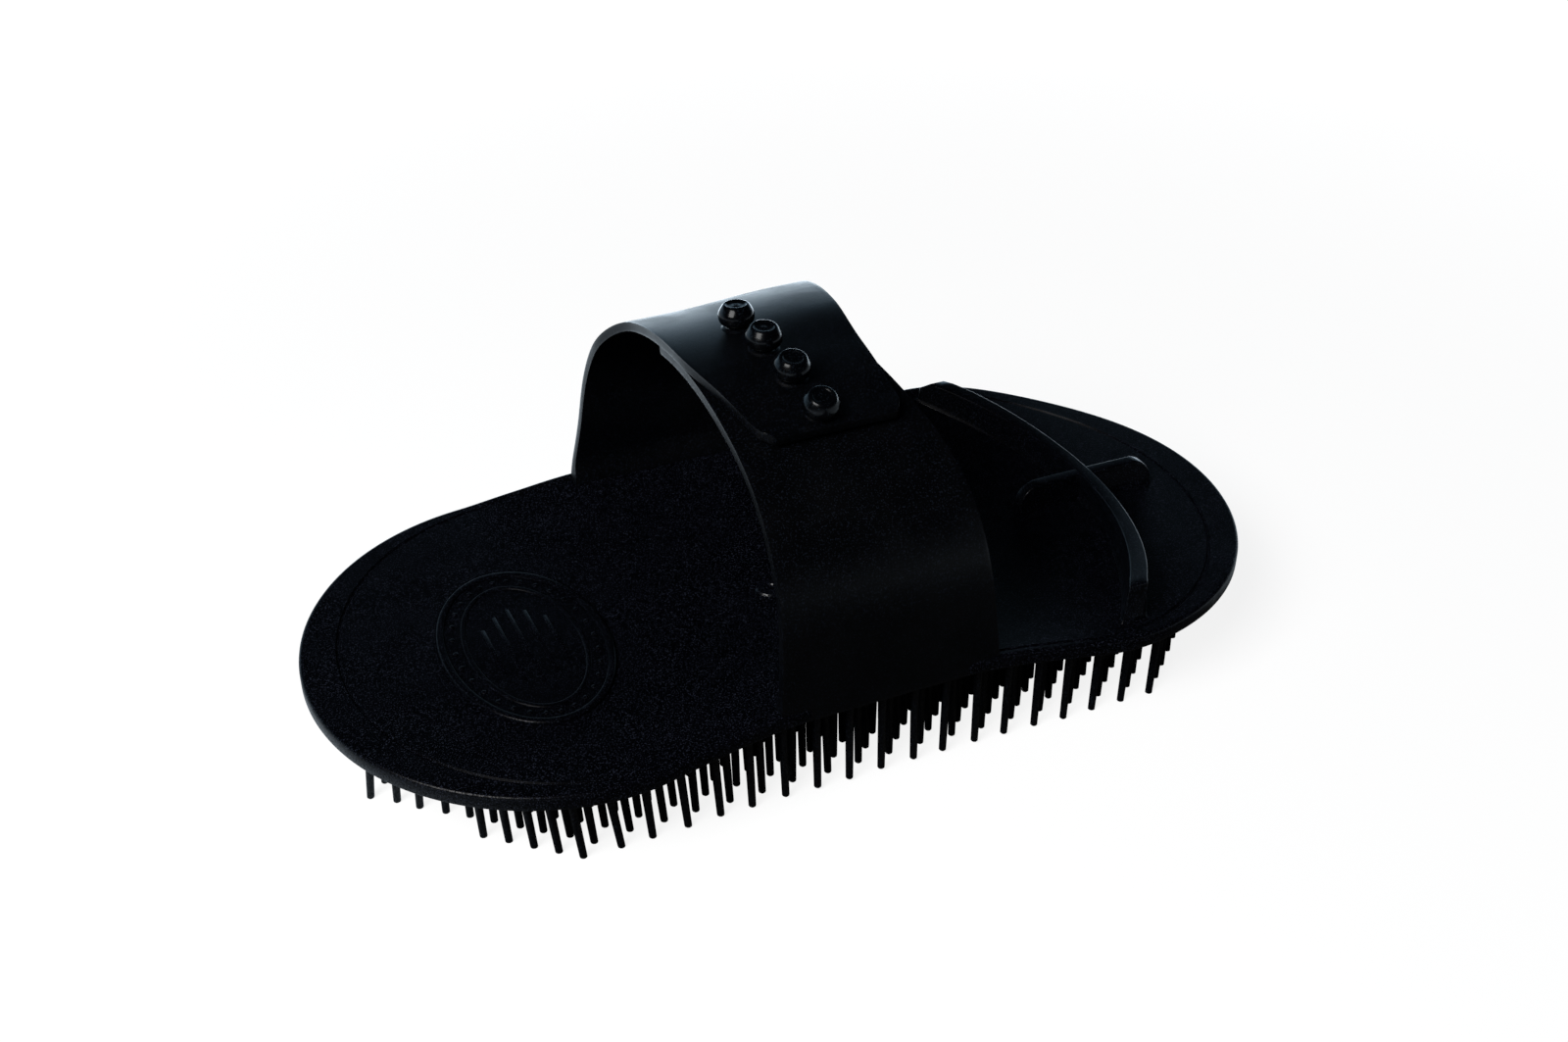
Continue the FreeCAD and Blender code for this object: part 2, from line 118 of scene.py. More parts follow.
# Corners above this height are shaped as the rib's top.
GRIP_TOP_FROM = 2 * MM

# ---- pins ----
PIN_SIDES = 10
PIN_PITCH = 6.6 * MM
PIN_SINK = 0.4 * MM
PIN_CHAMFER = 0.22
PIN_ROOT = 16.9
# (height, radius) up the pin, in millimetres.
PIN_RADII = ((0, 0.5), (PIN_CHAMFER, 0.7), (PIN_ROOT, 0.84), (18.0, 1.25), (20.0, 1.25))
PIN_STRAY = 0.5 * MM
PIN_STRAY_SEED = 1
PIN_STRAY_SCALE = 190
PIN_SWAY_POWER = 1.6

# ---- strap ----
STRAP_THICKNESS = 1.8 * MM
STRAP_SKIN_Y = 43 * MM
TOP_CENTRE_Z = 2 * MM
FAR_TOP_RADIUS = 70 * MM
NEAR_TOP_RADIUS = 67.9 * MM
FAR_SHOULDER_Y = 15 * MM
NEAR_SHOULDER_Y = 13 * MM
FAR_TIP_Y = -25.6 * MM
NEAR_TIP_Y = 15 * MM
TIP_CORNER = 1.3 * MM
FAR_RIGHT_LIFT = 1.2 * MM
FAR_TIP_LIFT = 0.9 * MM
ROOT_WEB = 1.9 * MM
# Each button's X, and its lean back from upright about the top arc's centre, in degrees.
BUTTONS = ((-7.8, 6.17), (-6.9, -1.93), (-6.0, -10.03), (-5.1, -18.13))
HOLE_RADIUS = 1.9 * MM


# ---- working in edit mode ----

def only(piece):
    """Makes one piece the only one that is selected and active."""
    for other in bpy.context.selected_objects:
        other.select_set(False)
    piece.select_set(True)
    bpy.context.view_layer.objects.active = piece


def edit(piece):
    only(piece)
    bpy.ops.object.mode_set(mode="EDIT")
    bpy.ops.mesh.select_all(action="DESELECT")


def done():
    bpy.ops.object.mode_set(mode="OBJECT")


def pick(piece, kind, wanted):
    """In edit mode, selects only the vertices, edges or faces that a test accepts."""
    bpy.ops.mesh.select_mode(type=kind)
    bpy.ops.mesh.select_all(action="DESELECT")
    mesh = bmesh.from_edit_mesh(piece.data)
    items = {"VERT": mesh.verts, "EDGE": mesh.edges, "FACE": mesh.faces}[kind]
    for item in items:
        if wanted(item):
            item.select_set(True)
    mesh.select_flush_mode()
    bmesh.update_edit_mesh(piece.data)


def shape(piece, move):
    """Moves each vertex to where the function puts its place."""
    for vertex in piece.data.vertices:
        vertex.co = move(vertex.co.copy())
    piece.data.update()


def settle(piece):
    """Puts the piece's place, turn and size into its mesh."""
    only(piece)
    bpy.ops.object.transform_apply(location=True, rotation=True, scale=True)
    return piece


def tidy_skin(piece):
    """Merges doubles and turns every face outward."""
    edit(piece)
    bpy.ops.mesh.select_all(action="SELECT")
    bpy.ops.mesh.remove_doubles(threshold=SMALL)
    bpy.ops.mesh.normals_make_consistent(inside=False)
    done()


def soften(piece, degrees=38):
    only(piece)
    bpy.ops.object.shade_smooth_by_angle(angle=math.radians(degrees))


def apply_modifier(piece, kind, **settings):
    only(piece)
    modifier = piece.modifiers.new("step", kind)
    for name, value in settings.items():
        setattr(modifier, name, value)
    bpy.ops.object.modifier_apply(modifier=modifier.name)


def join(pieces, name):
    """Makes one piece of several."""
    only(pieces[0])
    for other in pieces[1:]:
        other.select_set(True)
    bpy.ops.object.join()
    whole = bpy.context.object
    whole.name = name
    whole.data.name = name
    return whole


def smooth_step(share):
    share = max(0.0, min(1.0, share))
    return share * share * (3 - 2 * share)


def between(low, high, share):
    return low + (high - low) * share


def along(stations, value):
    """Value read off a list of (place, value) stations in rising order of place."""
    if value <= stations[0][0]:
        return stations[0][1]
    for (low, at_low), (high, at_high) in zip(stations, stations[1:]):
        if value <= high:
            return between(at_low, at_high, (value - low) / (high - low))
    return stations[-1][1]


def cube(name, low, high):
    middle = (Vector(low) + Vector(high)) / 2
    bpy.ops.mesh.primitive_cube_add(size=1, location=middle)
    piece = bpy.context.object
    piece.name = name
    piece.scale = Vector(high) - Vector(low)
    return settle(piece)


def turned(name, profile, steps):
    """Spins a profile of (radius, height) points about the Z axis."""
    mesh = bpy.data.meshes.new(name)
    points = [(radius, 0, height) for radius, height in profile]
    mesh.from_pydata(points, [(n, n + 1) for n in range(len(points) - 1)], [])
    piece = bpy.data.objects.new(name, mesh)
    bpy.context.scene.collection.objects.link(piece)
    edit(piece)
    bpy.ops.mesh.select_all(action="SELECT")
    bpy.ops.mesh.spin(steps=steps, angle=2 * math.pi, center=(0, 0, 0), axis=(0, 0, 1))
    done()
    tidy_skin(piece)
    return piece


def stand(piece, place, lean=0.0):
    """Leans a piece back about the X axis and puts it at its place."""
    piece.data.transform(Matrix.Translation(Vector(place)) @ Matrix.Rotation(-lean, 4, "X"))
    return piece


def copy_of(piece, name):
    twin = piece.copy()
    twin.data = piece.data.copy()
    twin.name = name
    bpy.context.scene.collection.objects.link(twin)
    return twin


# ---- the plate ----

def curl(x, y):
    """How far the plate stands above its flat place: pulled up at the waist, and a little tilted."""
    curled = NEAR_CURL
    if y > 0:
        curled = FAR_LEFT_CURL if x < 0 else FAR_RIGHT_CURL
    start, run, rise = curled
    pulled = rise * smooth_step((start - abs(x)) / run) * (y / WAIST_HALF) ** 2
    start, run, fall = RIGHT_END_DROOP
    return pulled + PLATE_TILT * y - fall * smooth_step((x - start) / run)


def half_width(x):
    """Half of the plate's width at one X."""
    away = abs(x)
    if away < JOIN_X:
        return WAIST_HALF + WAIST_RADIUS - math.sqrt(WAIST_RADIUS ** 2 - away ** 2)
    return math.sqrt(max(0.0, END_RADIUS ** 2 - (away - END_CENTRE_X) ** 2))


def edge_distance(place):
    """How far inside the plate's outline a place is."""
    if abs(place.x) > JOIN_X:
        return END_RADIUS - math.hypot(abs(place.x) - END_CENTRE_X, place.y)
    return half_width(place.x) - abs(place.y)


def plate_blank():
    """The plate's outline as one face: a circle parted in two halves, its long sides drawn in."""
    bpy.ops.mesh.primitive_circle_add(
        vertices=OUTLINE_SIDES,
        radius=END_RADIUS,
        fill_type="NGON",
        location=(0, 0, PLATE_TOP),
        rotation=(0, 0, math.pi / OUTLINE_SIDES),
    )
    piece = settle(bpy.context.object)
    edit(piece)
    for sign in (1, -1):
        pick(piece, "VERT", lambda v: v.co.x * sign > 0 and abs(v.co.x) <= END_RADIUS)
        bpy.ops.transform.translate(value=(sign * END_CENTRE_X, 0, 0))
    pick(piece, "EDGE", lambda e: e.calc_length() > END_RADIUS)
    bpy.ops.mesh.subdivide(number_cuts=LONG_SIDE_CUTS)
    bpy.ops.mesh.select_all(action="SELECT")
    bpy.ops.mesh.dissolve_faces()
    done()

    def draw_in(place):
        if abs(place.x) < END_CENTRE_X:
            place.y = math.copysign(half_width(place.x), place.y)
        return place
    shape(piece, draw_in)
    return piece


def is_rim(edge, height):
    return all(abs(v.co.z - height) < SMALL and edge_distance(v.co) < SMALL * 20 for v in edge.verts)


def thicken_plate(piece):
    pick(piece, "FACE", lambda f: True)
    bpy.ops.mesh.extrude_region_move(
        TRANSFORM_OT_translate={"value": (0, 0, UNDERSIDE_Z - PLATE_TOP)}
    )
    bpy.ops.mesh.select_all(action="SELECT")
    bpy.ops.mesh.normals_make_consistent(inside=False)
    for height, offset, segments in ((PLATE_TOP, TOP_EDGE_ROUND, 4), (UNDERSIDE_Z, LOW_EDGE_ROUND, 2)):
        pick(piece, "EDGE", lambda e: is_rim(e, height))
        bpy.ops.mesh.bevel(offset=offset, segments=segments, affect="EDGES")


def is_field(face, height):
    return len(face.verts) > 60 and abs(face.calc_center_median().z - height) < 1 * MM


def inset_plate_faces(piece):
    """Rings on the top with the sunk panel line near the rim, and rings underneath."""
    pick(piece, "FACE", lambda f: is_field(f, PLATE_TOP))
    bpy.ops.mesh.inset(thickness=PANEL_LINE_GUARD)
    bpy.ops.mesh.inset(thickness=PANEL_LINE_INSET - TOP_EDGE_ROUND - 2 * PANEL_LINE_GUARD)
    bpy.ops.mesh.inset(thickness=PANEL_LINE_GUARD)
    bpy.ops.mesh.inset(thickness=PANEL_LINE_FLANK, depth=-PANEL_LINE_DEPTH)
    bpy.ops.mesh.inset(thickness=PANEL_LINE_FLOOR)
    bpy.ops.mesh.inset(thickness=PANEL_LINE_FLANK, depth=PANEL_LINE_DEPTH)
    bpy.ops.mesh.inset(thickness=PANEL_LINE_GUARD)
    reach = PANEL_LINE_INSET - 2 * PANEL_LINE_GUARD
    lowest = PLATE_TOP - PANEL_LINE_DEPTH - SMALL
    pick(piece, "VERT", lambda v: v.co.z > lowest and edge_distance(v.co) > reach)
    bpy.ops.transform.resize(value=(PANEL_LINE_LENGTH_SHARE, 1, 1), center_override=(0, 0, PLATE_TOP))
    for height in (PLATE_TOP, UNDERSIDE_Z):
        pick(piece, "FACE", lambda f: is_field(f, height))
        for step in range(FIELD_STEPS):
            bpy.ops.mesh.inset(thickness=FIELD_STEP)


def centre_boss():
    """Round stud in the middle of the plate, under the strap."""
    radius = BOSS_RADIUS
    top = BOSS_HEIGHT
    profile = [
        (0, -1 * MM), (radius + 0.5 * MM, -1 * MM), (radius + 0.5 * MM, 0), (radius + 0.12 * MM, 0.12 * MM),
        (radius, 0.45 * MM), (radius, top - 0.3 * MM), (radius - 0.3 * MM, top),
        (1.2 * MM, top), (1.0 * MM, top - 0.25 * MM), (0, top - 0.25 * MM),
    ]
    return stand(turned("boss", profile, 36), (*BOSS_AT, PLATE_TOP))


def plate():
    piece = plate_blank()
    edit(piece)
    thicken_plate(piece)
    inset_plate_faces(piece)
    done()
    shape(piece, lambda p: p + Vector((0, 0, curl(p.x, p.y))))
    soften(piece, 32)
    boss = centre_boss()
    soften(boss)
    piece = join([piece, boss], "comb_plate")
    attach(piece, "comb")
    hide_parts("base_plate")
    return piece


# ---- the oval pad ----

def pad_place(place):
    """Turns a round pad into an oval one with rims of even width."""
    radius = math.hypot(place.x, place.y)
    if radius < SMALL:
        return place
    inset = PAD_HALF_LENGTH - radius
    return Vector((
        place.x / radius * max(PAD_HALF_WIDTH - inset, 0.1 * radius),
        place.y / radius * radius,
        place.z,
    ))


def pad_skin():
    outer_rim = [
        (0.0, -0.5), (0.0, 0.45), (0.12, 0.68), (0.35, 0.8), (1.15, 0.8), (1.38, 0.68), (1.5, PAD_FACE),
    ]
    inner_rim = [(4.5, PAD_FACE), (4.62, 0.56), (4.8, 0.62), (5.2, 0.62), (5.38, 0.56), (5.5, PAD_FACE)]
    face = [(9, PAD_FACE), (13, PAD_FACE), (17, PAD_FACE)]
    profile = outer_rim + inner_rim + face
    points = [(PAD_HALF_LENGTH - inset * MM, height * MM) for inset, height in profile]
    points.append((0, PAD_FACE * MM))
    skin = turned("pad", points, 96)
    shape(skin, pad_place)
    return skin


def pad_dots():
    """Ring of small round studs between the pad's two rims."""
    profile = [(0.55 * MM, -0.2 * MM), (0.52 * MM, 0.12 * MM), (0.34 * MM, 0.26 * MM), (0, 0.3 * MM)]
    first = turned("dot", profile, 12)
    reach_x, reach_y = DOT_RING
    dots = []
    for number in range(DOT_COUNT):
        angle = 2 * math.pi * (number + 0.5) / DOT_COUNT
        dot = copy_of(first, "dot")
        place = Vector((reach_x * math.cos(angle), reach_y * math.sin(angle), PAD_FACE * MM))
        dots.append(stand(dot, place))
    bpy.data.objects.remove(first)
    return dots


def pad_ribs():
    """Five plain low ribs along the pad's middle, shorter towards its sides."""
    ribs = []
    for x, reach in PAD_RIBS:
        low = ((x - PAD_RIB_HALF_WIDTH) * MM, -reach * MM, PAD_RIB_LOW * MM)
        high = ((x + PAD_RIB_HALF_WIDTH) * MM, reach * MM, PAD_RIB_HIGH * MM)
        ribs.append(cube("rib", low, high))
    for rib in ribs:
        apply_modifier(rib, "BEVEL", width=0.2 * MM, segments=2)
    return ribs


def pad():
    low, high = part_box("oval_pad")
    middle = Vector(((low.x + high.x) / 2, (low.y + high.y) / 2, low.z))
    piece = join([pad_skin()] + pad_dots() + pad_ribs(), "oval_pad_face")
    stand(piece, middle)
    shape(piece, lambda p: p + Vector((0, 0, curl(p.x, p.y))))
    soften(piece)
    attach(piece, "comb")
    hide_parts("oval_pad")
    return piece


# ---- the finger grip ----

def bar_blank(name, low, high, cuts, axis):
    """Bar cut into short lengths, with a seam just above its foot for the flare."""
    piece = cube(name, low, high)
    edit(piece)
    pick(piece, "EDGE", lambda e: abs(e.verts[0].co[axis] - e.verts[1].co[axis]) > SMALL)
    bpy.ops.mesh.subdivide(number_cuts=cuts)
    for height in (0.35 * MM, GRIP_FLARE_HEIGHT):
        bpy.ops.mesh.select_all(action="SELECT")
        bpy.ops.mesh.bisect(plane_co=(0, 0, PLATE_TOP + height), plane_no=(0, 0, 1))
    done()
    return piece


def flare(height):
    """How far a rib's foot spreads at one height above the plate."""
    return GRIP_FLARE * (1 - smooth_step(height / GRIP_FLARE_HEIGHT)) ** 1.5


def round_edges(piece, width):
    """Rounds the piece's sharp edges only."""
    apply_modifier(
        piece, "BEVEL", width=width, segments=4, limit_method="ANGLE", angle_limit=math.radians(50),
    )


def arc_rib():
    """Rib across the plate, an arc in plan, wider and taller towards its ends."""
    low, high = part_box("finger_grip")
    span = high.y
    crest = high.z - PLATE_TOP
    piece = bar_blank("arc", (-1 * MM, -span, PLATE_TOP), (1 * MM, span, high.z), 47, 1)

    def bend(place):
        share = abs(place.y) / span
        height = max(place.z - PLATE_TOP, 0.0)
        top = between(ARC_MIDDLE_HEIGHT, crest, share ** 2)
        if height > GRIP_TOP_FROM:
            height = top
        foot_width = between(ARC_MIDDLE_WIDTH, ARC_END_WIDTH, smooth_step(share ** 1.5))
        width = foot_width * between(1.0, GRIP_TOP_SHARE, height / crest)
        sag = ARC_RADIUS - math.sqrt(ARC_RADIUS ** 2 - place.y ** 2)
        middle_x = ARC_OUTER_X - ARC_HALF_MIDDLE - sag
        side = math.copysign(1.0, place.x)
        to_end = span - place.y
        if height > GRIP_TOP_FROM and to_end < GRIP_FAR_ROUND:
            height -= GRIP_FAR_ROUND - math.sqrt(GRIP_FAR_ROUND ** 2 - (GRIP_FAR_ROUND - to_end) ** 2)
        end = max(0.0, share - 0.999) * 1000
        y = place.y + math.copysign(end * (flare(height) - 0.35 * MM * height / crest), place.y)
        return Vector((middle_x + side * (width / 2 + flare(height)), y, PLATE_TOP + height))
    shape(piece, bend)
    round_edges(piece, 0.75 * MM)
    return piece


def centre_rib():
    """Rib along the plate through the arc, its top corners rounded right off."""
    end_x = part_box("finger_grip")[1].x
    low = (end_x - RIB_LENGTH, -RIB_HALF_WIDTH, PLATE_TOP)
    high = (end_x, RIB_HALF_WIDTH, PLATE_TOP + RIB_HEIGHT)
    piece = bar_blank("rib", low, high, 53, 0)

    def round_off(place):
        height = max(place.z - PLATE_TOP, 0.0)
        inset = min(place.x - low[0], end_x - place.x)
        if height > GRIP_TOP_FROM and inset < RIB_END_ROUND:
            drop = math.sqrt(max(0.0, RIB_END_ROUND ** 2 - (RIB_END_ROUND - inset) ** 2))
            height = RIB_HEIGHT - RIB_END_ROUND + drop
            height = max(height, 1.6 * MM)
        half = RIB_HALF_WIDTH * between(1.0, GRIP_TOP_SHARE, height / RIB_HEIGHT) + flare(height)
        return Vector((place.x, math.copysign(half, place.y), PLATE_TOP + height))
    shape(piece, round_off)
    round_edges(piece, 0.7 * MM)
    return piece


def finger_grip():
    piece = join([arc_rib(), centre_rib()], "cross_shaped_grip")
    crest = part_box("finger_grip")[1].z - PLATE_TOP

    def follow_plate(place):
        """The foot keeps to the curled plate, and the top leans up a little with its far end."""
        share = max(0.0, min(1.0, (place.z - PLATE_TOP) / crest))
        top = 1.0 * MM * max(0.0, place.y / (41 * MM)) ** 2
        return place + Vector((0, 0, between(curl(place.x, place.y) - 0.08 * MM, top, share)))
    shape(piece, follow_plate)
    soften(piece)
    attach(piece, "comb")
    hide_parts("finger_grip")
    return piece


# ---- the pins ----

def pin_blank():
    """One pin standing on its tip, with a chamfered tip and a root that flares into the plate."""
    length = UNDERSIDE_Z + PIN_SINK
    bpy.ops.mesh.primitive_cylinder_add(
        vertices=PIN_SIDES, radius=1 * MM, depth=length, location=(0, 0, length / 2)
    )
    piece = settle(bpy.context.object)
    edit(piece)
    for height in (PIN_CHAMFER * MM, PIN_ROOT * MM):
        bpy.ops.mesh.select_all(action="SELECT")
        bpy.ops.mesh.bisect(plane_co=(0, 0, height), plane_no=(0, 0, 1))
    pick(piece, "FACE", lambda f: f.normal.z > 0.9)
    bpy.ops.mesh.delete(type="FACE")
    done()

    def taper(place):
        radius = along(PIN_RADII, place.z / MM)
        return Vector((place.x * radius, place.y * radius, place.z))
    shape(piece, taper)
    return piece


def pin_lean(x, y):
    """How far a pin's tip stands off from below its root: the pins splay at the plate's two ends."""
    depth = max(y, -40 * MM) if y < -7 * MM else -7 * MM
    share = smooth_step(abs(x) / (62 * MM))
    if x < 0:
        end = Vector((-2.3 * MM - 0.12 * depth, -2.1 * MM - 0.085 * depth, 0))
    else:
        end = Vector((2.6 * MM + 0.075 * depth, -0.2 * MM, 0))
    middle = Vector((0.7 * MM, 0.6 * MM, 0))
    stray = noise.noise_vector(Vector((x, y, 0)) * PIN_STRAY_SCALE) * PIN_STRAY
    return middle.lerp(end, share) + Vector((stray.x, stray.y, 0))


def pin_places(number):
    """Where the pins of one row stand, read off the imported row's own pins."""
    low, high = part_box("pin_row_%02d" % number)
    y = (low.y + high.y) / 2
    count = round((high.x - low.x) / PIN_PITCH) + 1
    first = (low.x + high.x) / 2 - (count - 1) * PIN_PITCH / 2
    return [(first + n * PIN_PITCH, y) for n in range(count)]


def planted(blank, place):
    """A copy of the pin at its place, its root raised with the plate and its tip astray."""
    x, y = place
    rise = curl(x, y)
    lean = pin_lean(x, y)
    pin = copy_of(blank, "pin")

    def plant(point):
        share = min(1.0, point.z / UNDERSIDE_Z)
        sway = lean * (1 - share) ** PIN_SWAY_POWER
        lift = rise * between(0.3 if y < 0 else 0.5, 1.0, share)
        return Vector((x + point.x + sway.x, y + point.y + sway.y, max(0.0, point.z + lift)))
    shape(pin, plant)
    return pin


def pin_rows():
    noise.seed_set(PIN_STRAY_SEED)
    blank = pin_blank()
    rows = []
    for number in range(1, ROW_COUNT + 1):
        pins = [planted(blank, place) for place in pin_places(number)]
        row = join(pins, "pins_%02d" % number)
        soften(row, 50)
        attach(row, "comb")
        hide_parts("pin_row_%02d" % number)
        rows.append(row)
    bpy.data.objects.remove(blank)
    return rows


# ---- the strap ----

def strap_line(side, shoulder_y, top_radius, tip_y):
    """The strap's outer line from the plate's lower edge to its tip, as evenly spaced (y, z)."""
    shoulder_radius = STRAP_SKIN_Y - shoulder_y
    apart = top_radius - shoulder_radius
    knee_z = TOP_CENTRE_Z + math.sqrt(apart ** 2 - shoulder_y ** 2)
    crown = math.asin(shoulder_y / apart)
    tip = math.asin(side * tip_y / top_radius)
    upright = knee_z - UNDERSIDE_Z
    shoulder = shoulder_radius * (math.pi / 2 - crown)
    top = top_radius * (crown - tip)
    length = upright + shoulder + top

    def place(run):
        if run < upright:
            return side * STRAP_SKIN_Y, UNDERSIDE_Z + run
        run -= upright
        if run < shoulder:
            angle = math.pi / 2 - run / shoulder_radius
            y = shoulder_y + shoulder_radius * math.sin(angle)
            return side * y, knee_z + shoulder_radius * math.cos(angle)
        angle = crown - (run - shoulder) / top_radius
        return side * top_radius * math.sin(angle), TOP_CENTRE_Z + top_radius * math.cos(angle)
    return place, length


def far_lift(place):
    """The far wing stands off a little towards its right edge over the top, and at its tip."""
    right = smooth_step((place.x + 14 * MM) / (24 * MM)) * smooth_step((place.z - 46 * MM) / (18 * MM))
    right *= smooth_step((place.y + 6 * MM) / (14 * MM))
    tip = smooth_step((-19 * MM - place.y) / (6.6 * MM))
    return FAR_RIGHT_LIFT * right + FAR_TIP_LIFT * tip


def sheet_blank(name, side, line, limits, across_steps, along_steps):
    """Flat grid bent to the strap's line, as wide as the limits say at each place."""
    place, length = line
    bpy.ops.mesh.primitive_grid_add(x_subdivisions=across_steps, y_subdivisions=along_steps, size=1)
    piece = bpy.context.object
    piece.name = name
    step = length / along_steps

    def smooth_limits(run):
        low, high = 0.0, 0.0
        for shift in (-5, -2.5, 0, 2.5, 5):
            spot = place(max(0.0, min(length, run + shift * MM)))
            lows, highs = limits(*spot)
            low += lows / 5
            high += highs / 5
        return low, high

    def bend(point):
        across = point.x + 0.5
        share = point.y + 0.5
        run = share * length
        low, high = smooth_limits(run)
        edge = max(0.0, abs(across - 0.5) * 2 * across_steps / 2 - (across_steps / 2 - 1))
        tip = max(0.0, 1 - (length - run) / step)
        y, z = place(run - TIP_CORNER * edge * tip)
        if side > 0:
            across = 1 - across
        x = between(low, high, across)
        x += math.copysign(TIP_CORNER * edge * tip, 0.5 - across)
        fade = 1 - smooth_step((z - UNDERSIDE_Z) / (26 * MM))
        rise = curl(x, side * WAIST_HALF) * (fade if abs(y) > 30 * MM else 0)
        if side > 0:
            rise += far_lift(Vector((x, y, z)))
        return Vector((x, y, z + rise))
    shape(piece, bend)
    return piece


def pull_root(piece, side):
    """Thickens the sheet's inner side into a web where it runs into the plate."""
    def web(place):
        inner = STRAP_SKIN_Y - abs(place.y)
        if inner > 0.5 * STRAP_THICKNESS and abs(place.y) > 38 * MM:
            base = curl(place.x, side * WAIST_HALF) + PLATE_TOP
            spread = 1 - smooth_step((place.z - base + 0.5 * MM) / (4.5 * MM))
            place.y -= side * ROOT_WEB * spread
        return place
    shape(piece, web)


def strap_sheet(name, side, line, limits, across_steps, along_steps):
    piece = sheet_blank(name, side, line, limits, across_steps, along_steps)
    apply_modifier(
        piece, "SOLIDIFY", thickness=STRAP_THICKNESS, offset=-1, use_even_offset=True,
        edge_crease_inner=0.7, edge_crease_outer=0.7,
    )
    pull_root(piece, side)
    apply_modifier(piece, "SUBSURF", levels=2, render_levels=2)
    return piece


def far_limits(y, z):
    """The far wing's left and right edges at one place on its line."""
    plan_left = ((-25.6, -16.4), (-2, -21.8), (20, -21.9), (30, -22.4), (34.6, -24.8), (37, -25.6), (41, -31))
    plan_right = ((-25.6, 9.8), (-2, 10.9), (8, 12.2), (20, 14.2), (30, 15.4), (36, 17.4), (41, 24.3))
    front_left = ((21, -30.5), (33.7, -28.3), (45.7, -26.8), (58.6, -25.3), (66, -24))
    front_right = ((21, 24.3), (66, 16.5))
    left = max(along(plan_left, y / MM), along(front_left, z / MM))
    right = min(along(plan_right, y / MM), along(front_right, z / MM))
    return left * MM, right * MM


def near_limits(y, z):
    """The near wing's left and right edges: the left is square and the right leans in."""
    rise = (z / MM - 21) / (69.9 - 21)
    reach = (y / MM + 43) / 43
    shoulder = smooth_step((z / MM - 44) / 14) * (1 - smooth_step(reach / 0.7))
    right = 22 - 6.6 * rise - 4.9 * reach + 0.8 * shoulder
    return -21.3 * MM, right * MM


def button_frames():
    """(X, lean) of each button about the top arc's centre."""
    return [(x * MM, math.radians(lean)) for x, lean in BUTTONS]


def drill(piece, x, lean):
    bpy.ops.mesh.primitive_cylinder_add(vertices=40, radius=HOLE_RADIUS, depth=12 * MM)
    cutter = settle(bpy.context.object)
    cutter.data.transform(Matrix.Translation((0, 0, FAR_TOP_RADIUS - STRAP_THICKNESS / 2)))
    stand(cutter, (x, 0, TOP_CENTRE_Z), lean)
    apply_modifier(piece, "BOOLEAN", operation="DIFFERENCE", solver="EXACT", object=cutter)
    bpy.data.objects.remove(cutter)


def hole_collar(x, lean):
    """Raised rounded collar round one of the far wing's holes."""
    inner = HOLE_RADIUS - 0.02 * MM
    skin = FAR_TOP_RADIUS
    profile = [
        (inner + 1.15, -0.4), (inner + 1.1, 0.0), (inner + 0.85, 0.1), (inner + 0.7, 0.22),
        (inner + 0.5, 0.28), (inner + 0.25, 0.28), (inner + 0.06, 0.2), (inner, 0.05),
        (inner, -1.9), (inner + 0.3, -1.9),
    ]
    points = []
    for radius, height in profile:
        points.append((inner + (radius - inner) * MM, skin + height * MM))
    collar = stand(turned("collar", points, 48), (x, 0, TOP_CENTRE_Z), lean)
    shape(collar, lambda p: p + Vector((0, 0, far_lift(p))))
    return collar


def far_wing():
    line = strap_line(1, FAR_SHOULDER_Y, FAR_TOP_RADIUS, FAR_TIP_Y)
    sheet = strap_sheet("far", 1, line, far_limits, 18, 46)
    for x, lean in button_frames():
        drill(sheet, x, lean)
    soften(sheet, 40)
    collars = [hole_collar(x, lean) for x, lean in button_frames()]
    for collar in collars:
        soften(collar)
    piece = join([sheet] + collars, "far_wing_of_strap")
    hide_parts("far_strap_wing")
    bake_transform(piece)
    return piece


def near_wing():
    line = strap_line(-1, NEAR_SHOULDER_Y, NEAR_TOP_RADIUS, NEAR_TIP_Y)
    piece = strap_sheet("near", -1, line, near_limits, 16, 42)
    soften(piece, 40)
    piece.name = "near_wing_of_strap"
    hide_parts("near_strap_wing")
    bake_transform(piece)
    return piece


# ---- the buttons ----

def button_blank():
    """Mushroom button: foot, stem, flaring underside, wide waist, coned shoulder and dished top."""
    foot = NEAR_TOP_RADIUS - 0.5 * MM
    skin = FAR_TOP_RADIUS
    outside = [
        (1.5, 0.45), (1.75, 0.5), (2.2, 0.66), (2.8, 1.0), (3.16, 1.42), (3.34, 1.95), (3.38, 2.5),
        (3.33, 2.95), (3.2, 3.3), (2.98, 3.7), (2.74, 4.08), (2.54, 4.38), (2.34, 4.57), (2.12, 4.65),
        (1.92, 4.6), (1.74, 4.46), (1.6, 4.36), (1.3, 4.3), (0.5, 4.28), (0.34, 4.34), (0.18, 4.38),
        (0, 4.39),
    ]
    profile = [
        (0, foot), (1.9 * MM, foot), (1.85 * MM, NEAR_TOP_RADIUS), (1.5 * MM, NEAR_TOP_RADIUS + 0.35 * MM),
    ]
    for radius, height in outside:
        profile.append((radius * MM, skin + height * MM))
    return turned("button", profile, 48)


def buttons():
    blank = button_blank()
    made = []
    for number, (x, lean) in enumerate(button_frames()):
        head = copy_of(blank, "button_%d" % (number + 1))
        stand(head, (x, 0, TOP_CENTRE_Z), lean)
        made.append(head)
    bpy.data.objects.remove(blank)
    piece = join(made, "strap_button_heads")
    soften(piece, 50)
    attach(piece, "near_wing")
    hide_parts("strap_buttons")
    return piece


# ---- materials ----

